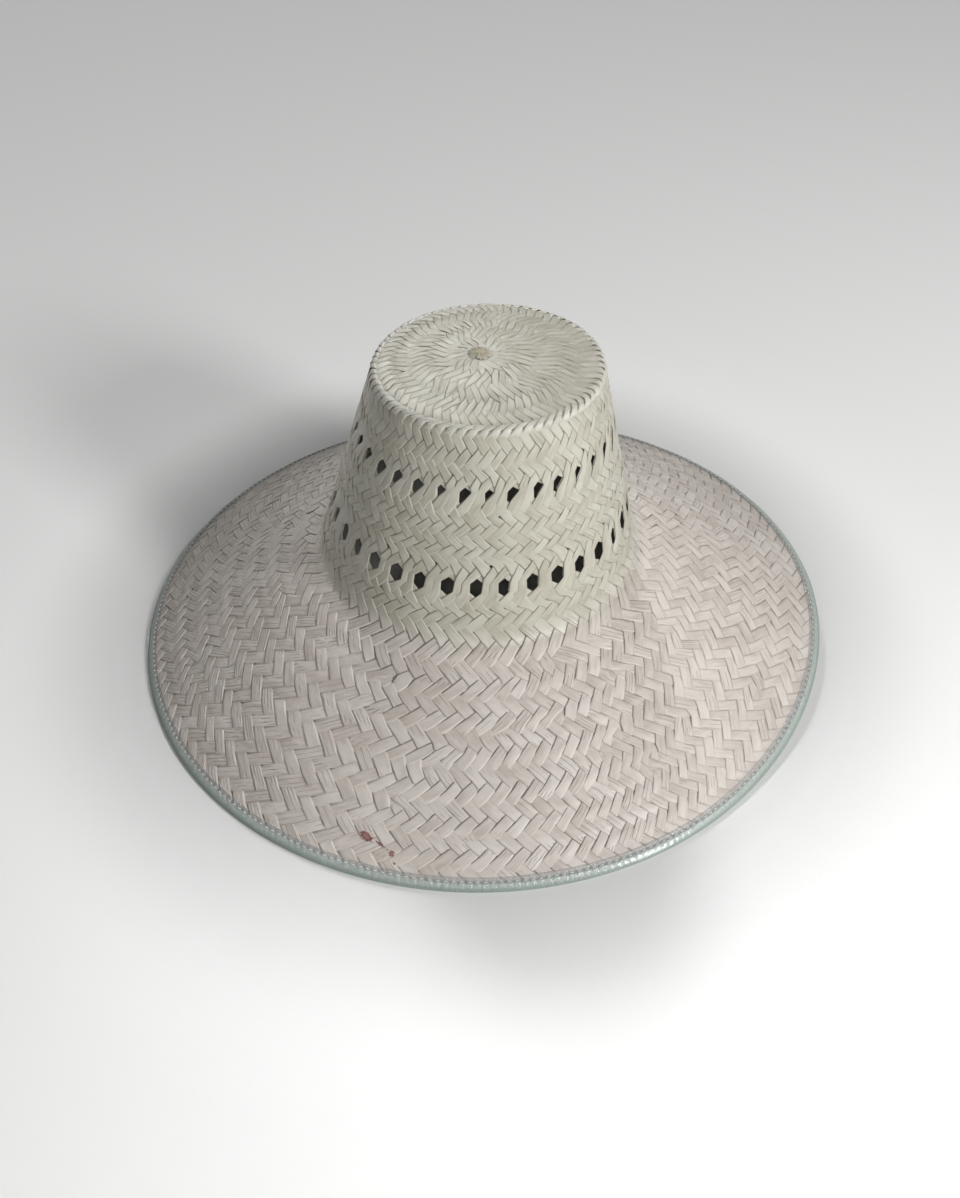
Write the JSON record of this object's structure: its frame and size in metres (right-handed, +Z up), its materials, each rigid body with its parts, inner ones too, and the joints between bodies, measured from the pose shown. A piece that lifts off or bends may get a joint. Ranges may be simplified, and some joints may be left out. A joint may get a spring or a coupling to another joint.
{
  "type": "woven palm pilgrim hat",
  "caption": "Wide-brimmed hat woven in one piece from palm leaf, with a tall tapered crown, two bands of vents and a clear tape round the rim.",
  "frame": {"origin": "centre of the outer box on the surface that the rim rests on", "axes": "+Z up through the crown, -Y to the front of the hat as the picture shows it, +X to the picture's right"},
  "size_m": [0.4296, 0.4246, 0.1957],
  "materials": {
    "palm_straw": "split palm leaf in a diagonal twill, cream with a faint grey-green cast, low sheen along the strands",
    "palm_knot": "bound palm leaf ends, tan, matt",
    "clear_tape": "clear soft vinyl tape, grey-green where it is doubled, glossy, stitched through with clear thread"
  },
  "bodies": {
    "root": {"crown_and_brim": "palm_straw", "centre_knot": "palm_knot", "edge_binding": "clear_tape"}
  },
  "joints": []
}
